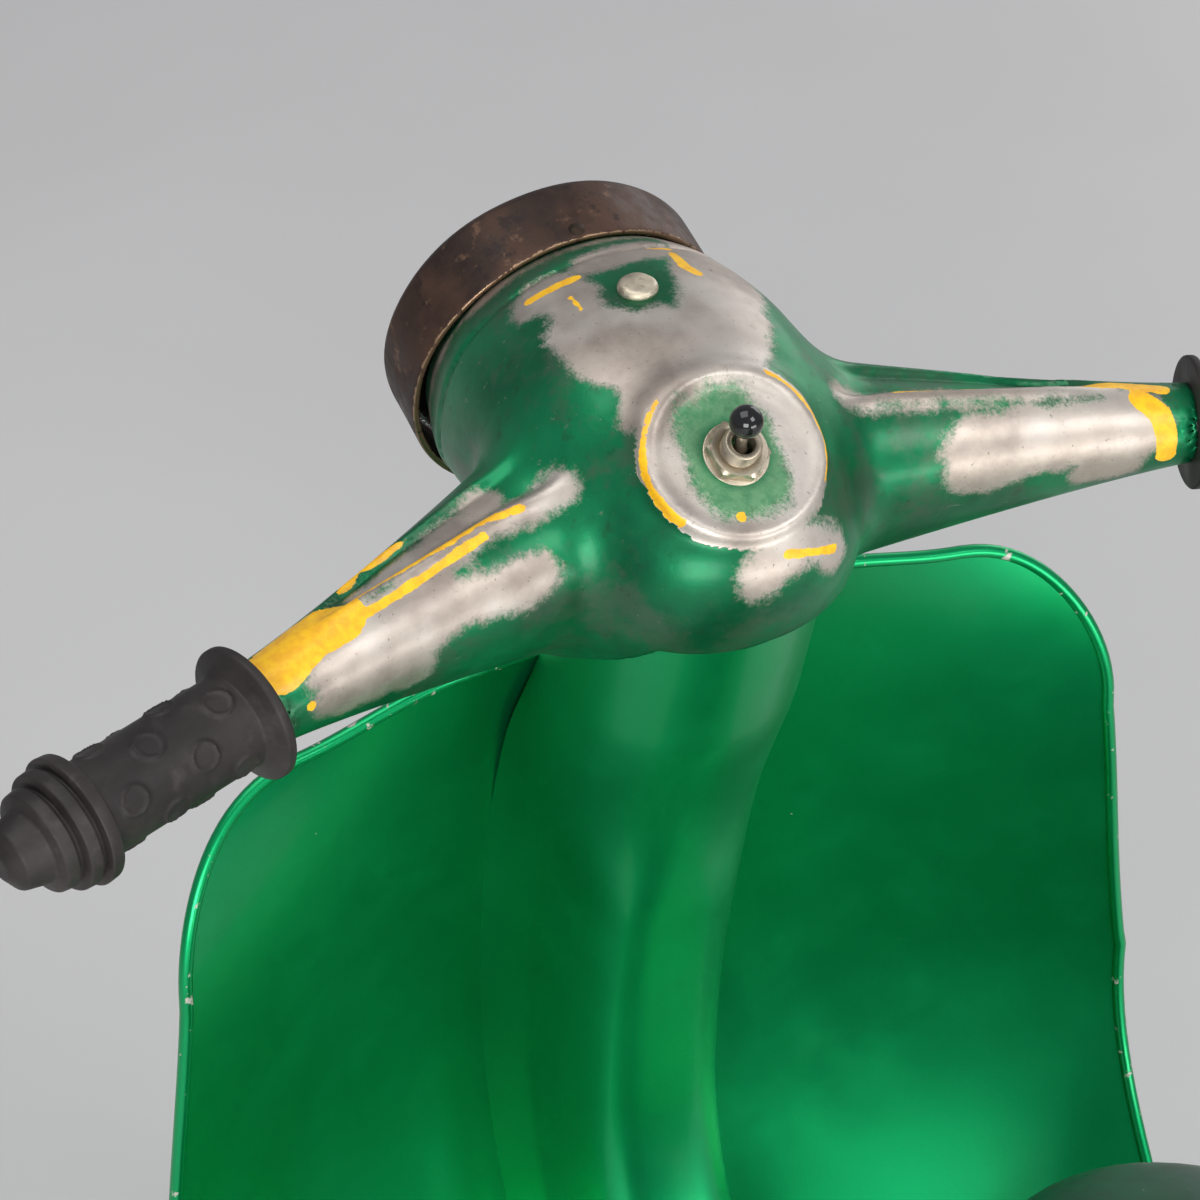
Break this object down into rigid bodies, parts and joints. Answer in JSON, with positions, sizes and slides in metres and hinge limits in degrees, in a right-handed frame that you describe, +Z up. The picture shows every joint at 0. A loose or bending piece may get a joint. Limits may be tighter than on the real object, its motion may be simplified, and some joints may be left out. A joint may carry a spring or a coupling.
{
  "type": "kick scooter",
  "caption": "Child's ride-on scooter with motor-scooter styling: leg shield, steering headset with headlight and toggle switch, saddle body and centre stand.",
  "frame": {"origin": "on the ground, midway between the front of the mudguard and the tail", "axes": "+X forwards, +Y to the rider's left, +Z up"},
  "size_m": [1.0947, 0.4844, 0.7587],
  "materials": {
    "green_paint": "glossy metallic green enamel over pressed steel",
    "worn_green_paint": "metallic green enamel worn to yellow undercoat and bare metal",
    "dark_green_paint": "dark green enamel, rubbed and scratched",
    "frame_paint": "dark green enamel, satin",
    "black_rubber": "matt dark grey rubber",
    "tyre_rubber": "matt black solid rubber",
    "rusted_steel": "dark brown rust",
    "bare_steel": "dull bare steel",
    "wheel_paint": "grey enamel, chipped",
    "black_plastic": "matt black",
    "gloss_black_plastic": "gloss black",
    "clear_glass": "clear fluted glass",
    "bulb_glass": "clear bulb glass",
    "reflector_chrome": "silvered, dulled",
    "red_plastic": "translucent red",
    "tail_chrome": "dulled chrome",
    "dull_nickel": "dull nickel plate",
    "brass_holder": "tarnished brass",
    "zinc_steel": "dull zinc plate"
  },
  "bodies": {
    "chassis": {"leg_shield": "green_paint", "floorboard": "green_paint", "floor_strips": "black_rubber", "floor_rivets": "zinc_steel", "spine_cover": "green_paint", "nose_cover": "green_paint", "main_frame": "frame_paint", "rear_frame": "frame_paint", "lower_cup": "zinc_steel", "upper_cup": "zinc_steel", "neck_cover": "green_paint", "rear_body": "green_paint", "body_bulkhead": "green_paint", "cover_screws": "zinc_steel", "saddle": "dark_green_paint", "saddle_base": "bare_steel", "saddle_bolts": "zinc_steel", "battery_box": "black_plastic", "tail_lamp_base": "tail_chrome", "tail_lamp_lens": "red_plastic", "rear_axle": "zinc_steel", "rear_axle_nuts": "zinc_steel", "rear_spacers": "zinc_steel", "stand_pin": "zinc_steel"},
    "steering": {"headset_shell": "worn_green_paint", "stem_clamp": "bare_steel", "headlight_drum": "rusted_steel", "drum_screw": "zinc_steel", "headlight_lens": "clear_glass", "headlight_reflector": "reflector_chrome", "bulb_holder": "brass_holder", "bulb": "bulb_glass", "crown_bolt": "zinc_steel", "switch_body": "dull_nickel", "switch_washer": "dull_nickel", "switch_nut": "dull_nickel", "bar_left": "zinc_steel", "bar_right": "zinc_steel", "grip_left": "black_rubber", "grip_right": "black_rubber", "fork": "frame_paint", "lower_cone": "zinc_steel", "upper_cone": "zinc_steel", "bearing_balls": "zinc_steel", "lock_nut": "zinc_steel", "front_mudguard": "green_paint", "mudguard_bolt": "zinc_steel", "front_axle": "zinc_steel", "front_axle_nuts": "zinc_steel", "front_spacers": "zinc_steel"},
    "toggle": {"switch_lever": "dull_nickel", "switch_knob": "gloss_black_plastic"},
    "front_wheel": {"front_rim": "wheel_paint", "front_tyre": "tyre_rubber", "front_hub": "bare_steel"},
    "rear_wheel": {"rear_rim": "wheel_paint", "rear_tyre": "tyre_rubber", "rear_hub": "bare_steel"},
    "stand": {"centre_stand": "zinc_steel", "stand_feet": "black_rubber"}
  },
  "joints": [
    {"name": "steering_turn", "type": "hinge", "parent": "chassis", "child": "steering", "pos_m": [0.3931, 0, 0.11547], "axis": [-0.2588, 0, 0.9659], "range_deg": [-35, 35]},
    {"name": "switch_flip", "type": "hinge", "parent": "steering", "child": "toggle", "pos_m": [0.21436, 0, 0.74173], "axis": [0, 1, 0], "range_deg": [-32, 0]},
    {"name": "front_wheel_spin", "type": "hinge", "parent": "steering", "child": "front_wheel", "pos_m": [0.41, 0, 0.12], "axis": [0, 1, 0], "continuous": true},
    {"name": "rear_wheel_spin", "type": "hinge", "parent": "chassis", "child": "rear_wheel", "pos_m": [-0.331, 0, 0.12], "axis": [0, 1, 0], "continuous": true},
    {"name": "stand_fold", "type": "hinge", "parent": "chassis", "child": "stand", "pos_m": [-0.1498, 0, 0.188], "axis": [0, 1, 0], "range_deg": [0, 72]}
  ]
}
